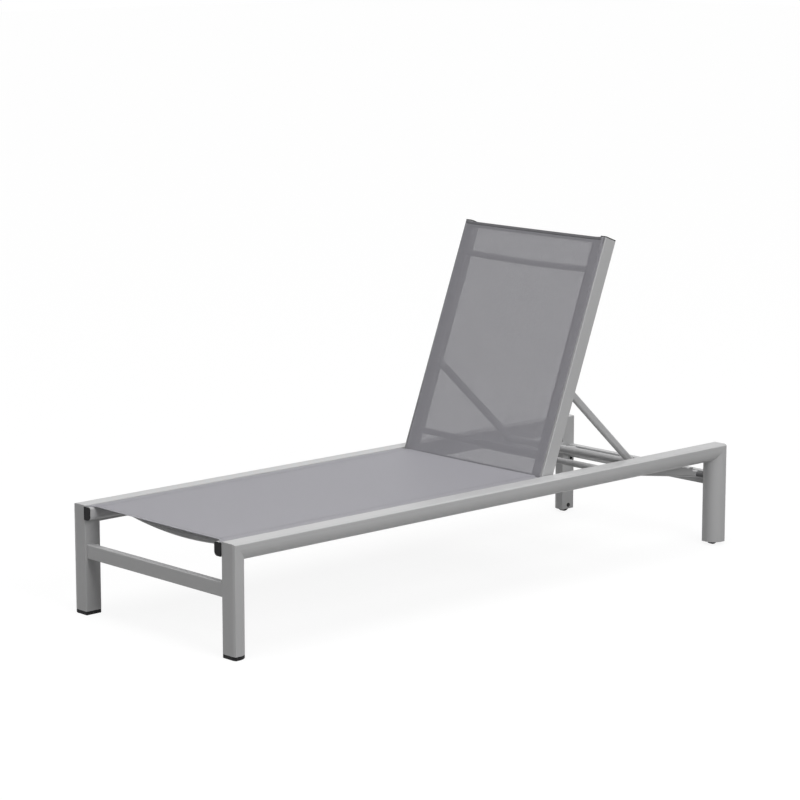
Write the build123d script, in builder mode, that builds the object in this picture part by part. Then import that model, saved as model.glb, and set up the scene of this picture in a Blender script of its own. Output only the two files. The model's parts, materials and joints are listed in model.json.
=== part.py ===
"""Sling sun lounger with a folding backrest.

Two welded side frames of one rounded aluminium profile carry a seat sling. The backrest
is a frame of its own on two hinge pins. A stay, pinned to the backrest rails, stands with
its cross tube in a pair of toothed racks. The rear legs hide small wheels.

Millimetres. +X runs from the foot end to the head end, +Z is up, and the origin is on the
ground in the middle of the lounger. Left and right are those of someone lying on it.
"""

import os
from math import asin, atan2, cos, degrees, hypot, radians, sin

from build123d import *

os.makedirs("parts", exist_ok=True)

# Overall size
overall_length = 1968.0
overall_width = 700.0
rail_top_height = 315.0

# Frame profile, shared by the side rails and all four legs
profile_width = 52.4
profile_depth = 52.0
profile_wall = 2.0
profile_large_round = 35.0
profile_crown_width = 9.0
profile_crown_drop = 3.2
profile_crown_round = 14.0
profile_ridge_round = 2.5
profile_corner_round = 2.2
front_leg_bottom = 11.0
rear_leg_bottom = 10.0

# Front feet
foot_inset = 0.3
foot_round = 1.8
foot_plug_height = 18.0
foot_plug_gap = 0.3

# Stretchers between the legs, with a bolted plate at each end
stretcher_height = 40.0
stretcher_depth = 22.0
stretcher_wall = 1.8
stretcher_round = 2.5
plate_thickness = 3.0
plate_tab_radius = 7.0
front_stretcher_bottom = 163.0
front_stretcher_setback = 5.0
front_bolt_behind_tube = 10.0
front_bolt_below_top = 7.0
rear_stretcher_bottom = 183.5
rear_stretcher_setback = 4.0
rear_bolt_ahead_of_back = 14.0
rear_bolt_below_tube = 5.5
stretcher_bolt_radius = 3.0
stretcher_bolt_head_radius = 5.0
stretcher_bolt_head_height = 3.5

# Sling rails, a flat-backed extrusion with a round groove for the edge rod
sling_rail_width = 26.0
seat_rail_depth = 38.0
back_rail_depth = 44.0
sling_rail_wall = 2.0
sling_rail_top_round = 6.0
sling_rail_bottom_round = 12.0
sling_rail_outer_round = 1.6
groove_from_outside = 5.0
groove_below_top = 6.2
groove_radius = 3.3
groove_ring = 1.4
groove_slot = 2.8
rail_cap_thickness = 3.0
rail_cap_plug_length = 14.0
rail_cap_plug_gap = 0.3

# Slings
sling_thickness = 1.5
sling_lift = 0.3
sling_below_rail_top = 0.8
rod_radius = 2.1
rod_gap = 0.1
sling_bulb_radius = 2.9
seat_start = 0.0
seat_end_before_hinge = 34.6

# Bowed cross bars under the slings
bow_bar_radius = 9.5
bow_bar_wall = 1.5
bow_depth = 27.0
bow_below_rail_top = 21.5
front_bow_position = 121.0
rear_bow_before_seat_end = 64.0
middle_bow_before_rear = 500.0

# Screws that hold the seat rails to the side rails
rail_screw_radius = 2.5
rail_screw_head_radius = 5.0
rail_screw_head_height = 2.4
rail_screw_count = 4
rail_screw_end_margin = 44.0
screw_hole_gap = 0.2
screw_end_length = 8.0

# Backrest
backrest_angle = 69.0
hinge_from_head_end = 743.4
hinge_below_top = 22.0
hinge_side_gap = 4.1
back_rail_below_hinge = 16.0
back_rail_above_hinge = 740.0
back_sling_start = 2.0
back_sling_end = 738.0
lower_bow_position = 80.0
upper_bow_position = 644.0

# Hinge pins
hinge_pin_radius = 5.0
running_gap = 0.05
hinge_head_radius = 9.0
hinge_head_height = 3.2
hinge_nut_radius = 8.5
hinge_nut_height = 5.0
hinge_washer_radius = 12.0
washer_gap = 0.15

# Stay: two oval arms and a round cross tube
stay_pivot_position = 294.0
stay_arm_width = 24.5
stay_arm_thickness = 16.0
stay_arm_wall = 1.6
stay_arm_tip = 13.0
stay_arm_tip_round = 5.0
stay_arm_solid_end = 30.0
stay_arm_cope = 6.0
stay_washer_thickness = 1.2
stay_washer_radius = 10.0
stay_pin_radius = 4.0
stay_pin_head_radius = 8.0
stay_pin_head_height = 3.0
stay_pin_nut_radius = 7.0
stay_pin_nut_height = 4.0
stay_tube_radius = 12.0
stay_tube_wall = 1.6
stay_tube_overhang = 5.0
stay_plug_thickness = 2.0
stay_plug_length = 12.0
stay_plug_gap = 0.1
weld_gap = 0.1

# Racks: a cross tube between the side rails, two arms down to the rear legs, toothed strips
cross_tube_radius = 10.0
cross_tube_wall = 1.8
cross_tube_from_head_end = 412.0
rack_arm_height = 20.0
rack_arm_thickness = 16.0
rack_arm_round = 5.5
rack_arm_cope = 4.0
rack_arm_side_gap = 29.6
rack_bolt_height = 215.0
rack_bolt_from_leg_front = 10.0
rack_bolt_radius = 3.0
rack_bolt_head_radius = 6.0
rack_bolt_head_height = 4.0
rack_sleeve_radius = 8.0
rack_strip_thickness = 3.0
rack_strip_above_arm = 10.0
rack_strip_below_middle = 4.0
rack_strip_round = 4.0
rack_strip_margin = 23.0
rack_seat_height = 6.7
rack_notch_gap = 0.4
rack_first_notch = 75.0
rack_notch_pitch = 62.0
rack_notch_count = 5
rack_lead_out_angle = 14.0
rack_lead_out_length = 30.0

# Wheels inside the rear legs
wheel_radius = 22.5
wheel_width = 16.0
wheel_from_leg_face = 12.4
wheel_hub_radius = 16.9
wheel_tyre_gap = 0.1
wheel_tyre_round = 3.0
wheel_recess_depth = 3.5
wheel_recess_inner = 7.5
wheel_recess_outer = 14.0
wheel_side_gap = 0.3
wheel_axle_radius = 4.0
wheel_axle_from_head_end = 25.0
axle_hole_gap = 0.1
axle_collar_radius = 6.5
axle_head_radius = 6.5
axle_head_height = 3.0
axle_head_round = 2.0
axle_outer_end_gap = 5.0

# Places worked out from the sizes above
half_length = overall_length / 2
caps_before_legs = max(rail_cap_thickness - seat_start, 0)
foot_end = caps_before_legs - half_length
frame_length = half_length - foot_end
inner_face = overall_width / 2 - profile_width
hands = ((-1, "left"), (1, "right"))
along_y = (90, 0, 0)
hinge_position = frame_length - hinge_from_head_end
hinge_x = foot_end + hinge_position
hinge_z = rail_top_height - hinge_below_top
seat_length = hinge_position - seat_end_before_hinge - seat_start
rear_bow_position = seat_start + seat_length - rear_bow_before_seat_end
middle_bow_position = rear_bow_position - middle_bow_before_rear
seat_rail_top = rail_top_height - sling_thickness - sling_lift - sling_below_rail_top
seat_inner_face = inner_face - sling_rail_width
back_rail_front = hinge_below_top - sling_thickness - sling_lift
back_outer_face = inner_face - hinge_side_gap
back_inner_face = back_outer_face - sling_rail_width

tilt = radians(backrest_angle)
back_plane = Plane(origin=(hinge_x, 0, hinge_z), x_dir=(0, 1, 0), z_dir=(cos(tilt), 0, sin(tilt)))
foot_end_plane = Plane.YZ.offset(foot_end)
front_mitre = Plane(origin=(foot_end, 0, rail_top_height), z_dir=(1, 0, 1))
rear_mitre = Plane(origin=(half_length, 0, rail_top_height), z_dir=(-1, 0, 1))

cross_tube_x = half_length - cross_tube_from_head_end
cross_tube_z = rail_top_height - profile_depth + cross_tube_radius
rack_bolt_x = half_length - profile_depth + rack_bolt_from_leg_front
rack_length = hypot(rack_bolt_x - cross_tube_x, rack_bolt_height - cross_tube_z)
rack_slope = atan2(rack_bolt_height - cross_tube_z, rack_bolt_x - cross_tube_x)
rack_arm_outer = inner_face - rack_arm_side_gap
rack_arm_inner = rack_arm_outer - rack_arm_thickness
rack_arm_middle = (rack_arm_outer + rack_arm_inner) / 2
rack_plane = Plane(origin=(cross_tube_x, 0, cross_tube_z), x_dir=(cos(rack_slope), 0, sin(rack_slope)),
                   z_dir=(0, -1, 0))

stay_foot_height = rack_arm_height / 2 + rack_seat_height + stay_tube_radius
stay_foot_x = cross_tube_x + rack_first_notch * cos(rack_slope) - stay_foot_height * sin(rack_slope)
stay_foot_z = cross_tube_z + rack_first_notch * sin(rack_slope) + stay_foot_height * cos(rack_slope)
stay_pivot_x = hinge_x + stay_pivot_position * cos(tilt)
stay_pivot_z = hinge_z + stay_pivot_position * sin(tilt)
stay_length = hypot(stay_foot_x - stay_pivot_x, stay_foot_z - stay_pivot_z)
stay_direction = Vector(stay_foot_x - stay_pivot_x, 0, stay_foot_z - stay_pivot_z)
stay_arm_outer = back_inner_face - stay_washer_thickness - 2 * washer_gap
stay_arm_inner = stay_arm_outer - stay_arm_thickness
stay_arm_middle = (stay_arm_outer + stay_arm_inner) / 2
stay_half_width = stay_arm_outer + stay_tube_overhang

wheel_axle_x = half_length - wheel_axle_from_head_end
wheel_inner_side = inner_face + wheel_from_leg_face
wheel_outer_side = wheel_inner_side + wheel_width

front_stretcher_x = foot_end + front_stretcher_setback + stretcher_depth / 2
front_bolt_x = foot_end + front_stretcher_setback + stretcher_depth + front_bolt_behind_tube
front_bolt_z = front_stretcher_bottom + stretcher_height - front_bolt_below_top
rear_stretcher_x = half_length - rear_stretcher_setback - stretcher_depth / 2
rear_bolt_x = half_length - rear_stretcher_setback - rear_bolt_ahead_of_back
rear_bolt_z = rear_stretcher_bottom - rear_bolt_below_tube
stretcher_hole_radius = stretcher_bolt_radius + screw_hole_gap
rack_hole_radius = rack_bolt_radius + screw_hole_gap
rail_screw_hole_radius = rail_screw_radius + screw_hole_gap

screw_spacing = (seat_length - 2 * rail_screw_end_margin) / (rail_screw_count - 1)
first_screw_x = foot_end + seat_start + rail_screw_end_margin
screw_z = seat_rail_top - seat_rail_depth / 2
screw_points = [(first_screw_x + screw_spacing * number, screw_z) for number in range(rail_screw_count)]

# Centres of the round pieces that run across the lounger, as X and Z
hinge_at = (hinge_x, hinge_z)
stay_pivot_at = (stay_pivot_x, stay_pivot_z)
stay_foot_at = (stay_foot_x, stay_foot_z)
cross_tube_at = (cross_tube_x, cross_tube_z)
rack_bolt_at = (rack_bolt_x, rack_bolt_height)
wheel_at = (wheel_axle_x, wheel_radius)
front_bolt_at = (front_bolt_x, front_bolt_z)
rear_bolt_at = (rear_bolt_x, rear_bolt_z)


def draw_face(points, radii, mode=Mode.ADD):
    """A flat face inside a polygon, each corner with its own radius."""
    with BuildLine() as outline:
        FilletPolyline(*points, radius=radii, close=True)
    make_face(outline.edges(), mode=mode)


def draw_profile(place, inset=0.0, mode=Mode.ADD):
    """The frame profile. place turns a distance from the inner face and a depth into a point."""
    corners = [(inset, inset), (profile_width - profile_crown_width, inset),
               (profile_width - inset, profile_crown_drop + inset),
               (profile_width - inset, profile_depth - inset), (inset, profile_depth - inset)]
    small = max(profile_corner_round - inset, profile_corner_round / 2)
    ridge = max(profile_ridge_round - inset, profile_ridge_round / 2)
    radii = [small, profile_crown_round, ridge, profile_large_round - inset, small]
    draw_face([place(across, deep) for across, deep in corners], radii, mode)


def draw_hollow_profile(place):
    """The frame profile with its wall."""
    draw_profile(place)
    draw_profile(place, profile_wall, Mode.SUBTRACT)


def sling_rail_outline(hand, outer, top, depth, inset=0.0):
    """Corner points and radii of a sling rail, inset for its bore and plugs."""
    outside = hand * (outer - inset)
    inside = hand * (outer - sling_rail_width + inset)
    points = [(outside, top - inset), (inside, top - inset),
              (inside, top - depth + inset), (outside, top - depth + inset)]
    small = max(sling_rail_outer_round - inset, sling_rail_outer_round / 2)
    radii = [small, sling_rail_top_round - inset, sling_rail_bottom_round - inset, small]
    return points, radii


def draw_sling_rail(hand, outer, top, depth):
    """Hollow sling rail with a grooved ring near its outer top corner."""
    draw_face(*sling_rail_outline(hand, outer, top, depth))
    draw_face(*sling_rail_outline(hand, outer, top, depth, sling_rail_wall), Mode.SUBTRACT)
    groove_at = hand * (outer - groove_from_outside)
    with Locations((groove_at, top - groove_below_top)):
        Circle(groove_radius + groove_ring)
        Circle(groove_radius, mode=Mode.SUBTRACT)
    with Locations((groove_at, top)):
        Rectangle(groove_slot, 2 * groove_below_top, mode=Mode.SUBTRACT)


def draw_sling_sheet(outer, top):
    """The taut sheet itself, as wide as the grooves are apart."""
    with Locations((0, top + sling_lift + sling_thickness / 2)):
        Rectangle(2 * (outer - groove_from_outside) + sling_thickness, sling_thickness)


def draw_sling_edges(outer, top):
    """The two edges of the sheet, which drop into the grooves and go round their rods."""
    reach = outer - groove_from_outside
    sheet_middle = top + sling_lift + sling_thickness / 2
    groove_height = top - groove_below_top
    for hand, _ in hands:
        with Locations((hand * reach, (sheet_middle + groove_height) / 2)):
            Rectangle(sling_thickness, sheet_middle - groove_height)
        with Locations((hand * reach, groove_height)):
            Circle(sling_bulb_radius)
            Circle(rod_radius + rod_gap, mode=Mode.SUBTRACT)


def draw_rods(outer, top):
    """The two edge rods, in the middle of their grooves."""
    for hand, _ in hands:
        with Locations((hand * (outer - groove_from_outside), top - groove_below_top)):
            Circle(rod_radius)


def round_bar(at, hand, start, end, radius, mode=Mode.ADD):
    """A round bar or hole along Y, between two distances from the middle of the lounger."""
    x, z = at
    with Locations((x, hand * (start + end) / 2, z)):
        Cylinder(radius, abs(end - start), rotation=along_y, mode=mode)


def hole_in_inner_wall(at, hand, radius):
    """A hole through the inner wall of a side rail or leg."""
    round_bar(at, hand, inner_face - profile_wall, inner_face + 2 * profile_wall, radius, Mode.SUBTRACT)


def save(piece, name):
    piece.part.label = name
    export_step(piece.part, f"parts/{name}.step")


# Side rails and legs, mitred to each other at the corners
for hand, name in hands:
    with BuildPart() as side_rail:
        with BuildSketch(foot_end_plane):
            draw_hollow_profile(lambda across, deep: (hand * (inner_face + across), rail_top_height - deep))
        extrude(amount=frame_length)
        split(bisect_by=front_mitre, keep=Keep.TOP)
        split(bisect_by=rear_mitre, keep=Keep.TOP)
        for screw_point in screw_points:
            hole_in_inner_wall(screw_point, hand, rail_screw_hole_radius)
        hole_in_inner_wall(hinge_at, hand, hinge_pin_radius + screw_hole_gap)
    save(side_rail, f"side_rail_{name}")

    with BuildPart() as front_leg:
        with BuildSketch(Plane.XY.offset(front_leg_bottom)):
            draw_hollow_profile(lambda across, deep: (foot_end + deep, hand * (inner_face + across)))
        extrude(amount=rail_top_height - front_leg_bottom)
        split(bisect_by=front_mitre, keep=Keep.BOTTOM)
        hole_in_inner_wall(front_bolt_at, hand, stretcher_hole_radius)
    save(front_leg, f"front_leg_{name}")

    with BuildPart() as rear_leg:
        with BuildSketch(Plane.XY.offset(rear_leg_bottom)):
            draw_hollow_profile(lambda across, deep: (half_length - deep, hand * (inner_face + across)))
        extrude(amount=rail_top_height - rear_leg_bottom)
        split(bisect_by=rear_mitre, keep=Keep.BOTTOM)
        hole_in_inner_wall(rear_bolt_at, hand, stretcher_hole_radius)
        hole_in_inner_wall(rack_bolt_at, hand, rack_hole_radius)
        hole_in_inner_wall(wheel_at, hand, wheel_axle_radius + axle_hole_gap)
    save(rear_leg, f"rear_leg_{name}")

# Front feet, plastic caps with a plug up inside the leg
for hand, name in hands:
    with BuildPart() as front_foot:
        with BuildSketch():
            draw_profile(lambda across, deep: (foot_end + deep, hand * (inner_face + across)), foot_inset)
        extrude(amount=front_leg_bottom)
        fillet(front_foot.faces().sort_by(Axis.Z)[0].edges(), radius=foot_round)
        with BuildSketch(Plane.XY.offset(front_leg_bottom)):
            draw_profile(lambda across, deep: (foot_end + deep, hand * (inner_face + across)),
                         profile_wall + foot_plug_gap)
        extrude(amount=foot_plug_height)
    save(front_foot, f"front_foot_{name}")


def stretcher(middle_x, bottom, bolt_at):
    """Rectangular tube with a plate welded round each end, drilled for one bolt."""
    middle = (middle_x, bottom + stretcher_height / 2)
    with BuildPart() as piece:
        with BuildSketch(Plane.XZ):
            with Locations(middle):
                RectangleRounded(stretcher_depth, stretcher_height, stretcher_round)
        extrude(amount=inner_face, both=True)
        for hand, _ in hands:
            with BuildSketch(Plane.XZ.offset(-hand * (inner_face - plate_thickness / 2))) as plate:
                with Locations(middle):
                    RectangleRounded(stretcher_depth, stretcher_height, stretcher_round)
                with Locations(bolt_at):
                    Circle(plate_tab_radius)
                make_hull(plate.sketch_local.edges())
            extrude(amount=plate_thickness / 2, both=True)
            round_bar(bolt_at, hand, inner_face - 2 * plate_thickness, inner_face, stretcher_hole_radius,
                      Mode.SUBTRACT)
        with BuildSketch(Plane.XZ):
            with Locations(middle):
                RectangleRounded(stretcher_depth - 2 * stretcher_wall, stretcher_height - 2 * stretcher_wall,
                                 stretcher_round / 2)
        extrude(amount=inner_face, both=True, mode=Mode.SUBTRACT)
    return piece


save(stretcher(front_stretcher_x, front_stretcher_bottom, front_bolt_at), "front_stretcher")
save(stretcher(rear_stretcher_x, rear_stretcher_bottom, rear_bolt_at), "rear_stretcher")

for name, bolt_at in (("front", front_bolt_at), ("rear", rear_bolt_at)):
    with BuildPart() as stretcher_bolts:
        plate_face = inner_face - plate_thickness
        for hand, _ in hands:
            round_bar(bolt_at, hand, plate_face - stretcher_bolt_head_height, plate_face,
                      stretcher_bolt_head_radius)
            round_bar(bolt_at, hand, plate_face, inner_face + screw_end_length, stretcher_bolt_radius)
    save(stretcher_bolts, f"{name}_stretcher_bolts")

# Seat rails and the screws that hold them
seat_rail_plane = foot_end_plane.offset(seat_start)
for hand, name in hands:
    with BuildPart() as seat_rail:
        with BuildSketch(seat_rail_plane):
            draw_sling_rail(hand, inner_face, seat_rail_top, seat_rail_depth)
        extrude(amount=seat_length)
        for screw_point in screw_points:
            round_bar(screw_point, hand, seat_inner_face - sling_rail_wall, inner_face + sling_rail_wall,
                      rail_screw_hole_radius, Mode.SUBTRACT)
    save(seat_rail, f"seat_rail_{name}")

with BuildPart() as seat_rail_screws:
    for hand, _ in hands:
        for screw_point in screw_points:
            round_bar(screw_point, hand, seat_inner_face - rail_screw_head_height, seat_inner_face,
                      rail_screw_head_radius)
            round_bar(screw_point, hand, seat_inner_face, inner_face + screw_end_length, rail_screw_radius)
save(seat_rail_screws, "seat_rail_screws")


def rail_caps(plane, outer, top, depth, ends):
    """Plastic caps on sling rail ends. Each end is a distance and the way it faces."""
    plug_inset = sling_rail_wall + rail_cap_plug_gap
    plug_top = top - groove_below_top - groove_radius - groove_ring - rail_cap_plug_gap
    with BuildPart() as caps:
        for hand, _ in hands:
            for distance, facing in ends:
                with BuildSketch(plane.offset(distance)):
                    draw_face(*sling_rail_outline(hand, outer, top, depth))
                extrude(amount=facing * rail_cap_thickness)
                with BuildSketch(plane.offset(distance)):
                    points, radii = sling_rail_outline(hand, outer, top, depth, plug_inset)
                    points[0] = (points[0][0], plug_top)
                    points[1] = (points[1][0], plug_top)
                    draw_face(points, radii)
                extrude(amount=-facing * rail_cap_plug_length)
    return caps


seat_rail_caps = rail_caps(seat_rail_plane, inner_face, seat_rail_top, seat_rail_depth,
                           ((0, -1), (seat_length, 1)))
save(seat_rail_caps, "seat_rail_caps")

# Seat sling, whose sheet also covers the rails' end caps, and its edge rods
with BuildPart() as seat_sling:
    with BuildSketch(seat_rail_plane):
        draw_sling_edges(inner_face, seat_rail_top)
    extrude(amount=seat_length)
    with BuildSketch(seat_rail_plane.offset(-rail_cap_thickness)):
        draw_sling_sheet(inner_face, seat_rail_top)
    extrude(amount=seat_length + 2 * rail_cap_thickness)
save(seat_sling, "seat_sling")

with BuildPart() as seat_edge_rods:
    with BuildSketch(seat_rail_plane):
        draw_rods(inner_face, seat_rail_top)
    extrude(amount=seat_length)
save(seat_edge_rods, "seat_edge_rods")


def bow_bar(plane, half_span, end_height):
    """A tube bowed away from the sling, cut flat where it is welded to the rails."""
    bow_radius = (half_span**2 + bow_depth**2) / (2 * bow_depth)
    arc_middle_height = end_height - bow_depth + bow_radius
    half_sweep = degrees(asin((half_span + 2 * bow_bar_radius) / bow_radius))
    with BuildPart() as bar:
        with BuildLine(plane) as path:
            CenterArc((0, arc_middle_height), bow_radius, 270 - half_sweep, 2 * half_sweep)
        with BuildSketch(Plane(origin=path.line @ 0, z_dir=path.line % 0)):
            Circle(bow_bar_radius)
            Circle(bow_bar_radius - bow_bar_wall, mode=Mode.SUBTRACT)
        sweep()
        for hand, _ in hands:
            split(bisect_by=Plane(origin=(0, hand * half_span, 0), z_dir=(0, hand, 0)), keep=Keep.BOTTOM)
    return bar


for name, position in (("front", front_bow_position), ("middle", middle_bow_position),
                       ("rear", rear_bow_position)):
    bar = bow_bar(foot_end_plane.offset(position), seat_inner_face, seat_rail_top - bow_below_rail_top)
    save(bar, f"seat_bow_bar_{name}")

# Backrest rails
back_rail_plane = back_plane.offset(-back_rail_below_hinge)
for hand, name in hands:
    with BuildPart() as back_rail:
        with BuildSketch(back_rail_plane):
            draw_sling_rail(hand, back_outer_face, back_rail_front, back_rail_depth)
        extrude(amount=back_rail_below_hinge + back_rail_above_hinge)
        round_bar(hinge_at, hand, back_inner_face - sling_rail_wall, back_outer_face + sling_rail_wall,
                  hinge_pin_radius + running_gap, Mode.SUBTRACT)
        round_bar(stay_pivot_at, hand, back_inner_face - sling_rail_wall,
                  back_inner_face + 2 * sling_rail_wall, stay_pin_radius + screw_hole_gap, Mode.SUBTRACT)
    save(back_rail, f"back_rail_{name}")

back_top_caps = rail_caps(back_plane, back_outer_face, back_rail_front, back_rail_depth,
                          ((back_rail_above_hinge, 1),))
save(back_top_caps, "back_top_caps")

# The lower caps are plain plates, because the hinge pins cross the rails just above them
with BuildPart() as back_bottom_caps:
    for hand, _ in hands:
        with BuildSketch(back_rail_plane):
            draw_face(*sling_rail_outline(hand, back_outer_face, back_rail_front, back_rail_depth))
        extrude(amount=-rail_cap_thickness)
save(back_bottom_caps, "back_bottom_caps")

for name, position in (("lower", lower_bow_position), ("upper", upper_bow_position)):
    bar = bow_bar(back_plane.offset(position), back_inner_face, back_rail_front - bow_below_rail_top)
    save(bar, f"back_bow_bar_{name}")

# Backrest sling and its edge rods
back_sling_length = back_sling_start + back_sling_end
with BuildPart() as back_sling:
    with BuildSketch(back_plane.offset(-back_sling_start)):
        draw_sling_sheet(back_outer_face, back_rail_front)
        draw_sling_edges(back_outer_face, back_rail_front)
    extrude(amount=back_sling_length)
save(back_sling, "back_sling")

with BuildPart() as back_edge_rods:
    with BuildSketch(back_plane.offset(-back_sling_start)):
        draw_rods(back_outer_face, back_rail_front)
    extrude(amount=back_sling_length)
save(back_edge_rods, "back_edge_rods")

# Hinge pins, fixed in the side rails, with a washer between side rail and backrest rail
for hand, name in hands:
    with BuildPart() as hinge_pin:
        nut_start = inner_face + profile_wall
        nut_end = nut_start + hinge_nut_height
        head_end = back_inner_face - washer_gap
        round_bar(hinge_at, hand, head_end - hinge_head_height, head_end, hinge_head_radius)
        round_bar(hinge_at, hand, head_end, nut_end, hinge_pin_radius)
        round_bar(hinge_at, hand, nut_start, nut_end, hinge_nut_radius)
    save(hinge_pin, f"hinge_pin_{name}")

with BuildPart() as hinge_washers:
    washer_start = back_outer_face + washer_gap
    for hand, _ in hands:
        round_bar(hinge_at, hand, washer_start, inner_face, hinge_washer_radius)
        round_bar(hinge_at, hand, washer_start, inner_face, hinge_pin_radius + running_gap, Mode.SUBTRACT)
save(hinge_washers, "hinge_washers")

# Stay arms, pinned inside the backrest rails
for hand, name in hands:
    arm_plane = Plane(origin=(stay_pivot_x, hand * stay_arm_middle, stay_pivot_z), x_dir=(0, 1, 0),
                      z_dir=stay_direction)
    with BuildPart() as stay_arm:
        with BuildSketch(arm_plane.offset(-stay_arm_tip)):
            SlotOverall(stay_arm_width, stay_arm_thickness, rotation=90)
        extrude(amount=stay_arm_tip + stay_length - stay_arm_cope)
        tip_face = stay_arm.faces().sort_by(Axis((0, 0, 0), stay_direction))[0]
        fillet(tip_face.edges(), radius=stay_arm_tip_round)
        with BuildSketch(arm_plane.offset(stay_arm_solid_end)):
            SlotOverall(stay_arm_width - 2 * stay_arm_wall, stay_arm_thickness - 2 * stay_arm_wall,
                        rotation=90)
        extrude(amount=stay_length, mode=Mode.SUBTRACT)
        round_bar(stay_foot_at, hand, stay_arm_inner, stay_arm_outer, stay_tube_radius + weld_gap,
                  Mode.SUBTRACT)
        round_bar(stay_pivot_at, hand, stay_arm_inner, stay_arm_outer, stay_pin_radius + running_gap,
                  Mode.SUBTRACT)
    save(stay_arm, f"stay_arm_{name}")

with BuildPart() as stay_cross_tube:
    round_bar(stay_foot_at, 1, -stay_half_width, stay_half_width, stay_tube_radius)
    round_bar(stay_foot_at, 1, -stay_half_width, stay_half_width, stay_tube_radius - stay_tube_wall,
              Mode.SUBTRACT)
save(stay_cross_tube, "stay_cross_tube")

with BuildPart() as stay_tube_plugs:
    plug_radius = stay_tube_radius - stay_tube_wall - stay_plug_gap
    for hand, _ in hands:
        round_bar(stay_foot_at, hand, stay_half_width, stay_half_width + stay_plug_thickness,
                  stay_tube_radius)
        round_bar(stay_foot_at, hand, stay_half_width - stay_plug_length, stay_half_width, plug_radius)
save(stay_tube_plugs, "stay_tube_plugs")

with BuildPart() as stay_pins:
    nut_start = back_inner_face + sling_rail_wall
    nut_end = nut_start + stay_pin_nut_height
    head_end = stay_arm_inner - washer_gap
    for hand, _ in hands:
        round_bar(stay_pivot_at, hand, head_end - stay_pin_head_height, head_end, stay_pin_head_radius)
        round_bar(stay_pivot_at, hand, head_end, nut_end, stay_pin_radius)
        round_bar(stay_pivot_at, hand, nut_start, nut_end, stay_pin_nut_radius)
save(stay_pins, "stay_pins")

with BuildPart() as stay_washers:
    washer_start = back_inner_face - stay_washer_thickness
    for hand, _ in hands:
        round_bar(stay_pivot_at, hand, washer_start, back_inner_face, stay_washer_radius)
        round_bar(stay_pivot_at, hand, washer_start, back_inner_face, stay_pin_radius + running_gap,
                  Mode.SUBTRACT)
save(stay_washers, "stay_washers")

# Cross tube between the side rails
with BuildPart() as cross_tube:
    round_bar(cross_tube_at, 1, -inner_face, inner_face, cross_tube_radius)
    round_bar(cross_tube_at, 1, -inner_face, inner_face, cross_tube_radius - cross_tube_wall, Mode.SUBTRACT)
save(cross_tube, "cross_tube")

# Rack arms, from the cross tube down to a bolt in each rear leg
rack_arm_start = Plane(rack_plane.from_local_coords((rack_arm_cope, 0, 0)), z_dir=rack_plane.x_dir)
for hand, name in hands:
    with BuildPart() as rack_arm:
        with BuildSketch(rack_plane.offset(-hand * rack_arm_middle)):
            SlotCenterPoint((rack_length / 2, 0), (rack_length, 0), rack_arm_height)
        extrude(amount=rack_arm_thickness / 2, both=True)
        fillet(rack_arm.faces().filter_by(Axis.Y).edges(), radius=rack_arm_round)
        split(bisect_by=rack_arm_start, keep=Keep.TOP)
        round_bar(cross_tube_at, hand, rack_arm_inner, rack_arm_outer, cross_tube_radius + weld_gap,
                  Mode.SUBTRACT)
        round_bar(rack_bolt_at, hand, rack_arm_inner, rack_arm_outer, rack_hole_radius, Mode.SUBTRACT)
    save(rack_arm, f"rack_arm_{name}")

# Toothed strips on the outer sides of the rack arms, clear of the stay arms when the back is flat.
# The first notch is opened along the path of the stay's foot
strip_base = -rack_strip_below_middle
strip_top = rack_arm_height / 2 + rack_strip_above_arm
strip_middle = rack_arm_outer + rack_strip_thickness / 2
strip_start = rack_first_notch - rack_strip_margin
strip_end = rack_first_notch + rack_notch_pitch * (rack_notch_count - 1) + rack_strip_margin
notch_radius = stay_tube_radius + rack_notch_gap
lead_out = radians(rack_lead_out_angle)
lead_out_end = (rack_first_notch + rack_lead_out_length * cos(lead_out),
                stay_foot_height + rack_lead_out_length * sin(lead_out))
lead_out_middle = ((rack_first_notch + lead_out_end[0]) / 2, (stay_foot_height + lead_out_end[1]) / 2)
for hand, name in hands:
    with BuildPart() as rack_strip:
        with BuildSketch(rack_plane.offset(-hand * strip_middle)):
            draw_face([(strip_start, strip_base), (strip_end, strip_base), (strip_end, strip_top),
                       (strip_start, strip_top)], [0, 0, rack_strip_round, rack_strip_round])
            for number in range(rack_notch_count):
                with Locations((rack_first_notch + rack_notch_pitch * number, stay_foot_height)):
                    Circle(notch_radius, mode=Mode.SUBTRACT)
            SlotCenterPoint(lead_out_middle, lead_out_end, 2 * notch_radius, mode=Mode.SUBTRACT)
        extrude(amount=rack_strip_thickness / 2, both=True)
    save(rack_strip, f"rack_strip_{name}")

with BuildPart() as rack_bolts:
    for hand, _ in hands:
        round_bar(rack_bolt_at, hand, rack_arm_inner - rack_bolt_head_height, rack_arm_inner,
                  rack_bolt_head_radius)
        round_bar(rack_bolt_at, hand, rack_arm_inner, inner_face + screw_end_length, rack_bolt_radius)
save(rack_bolts, "rack_bolts")

with BuildPart() as rack_sleeves:
    for hand, _ in hands:
        round_bar(rack_bolt_at, hand, rack_arm_outer, inner_face, rack_sleeve_radius)
        round_bar(rack_bolt_at, hand, rack_arm_outer, inner_face, rack_hole_radius, Mode.SUBTRACT)
save(rack_sleeves, "rack_sleeves")

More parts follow.
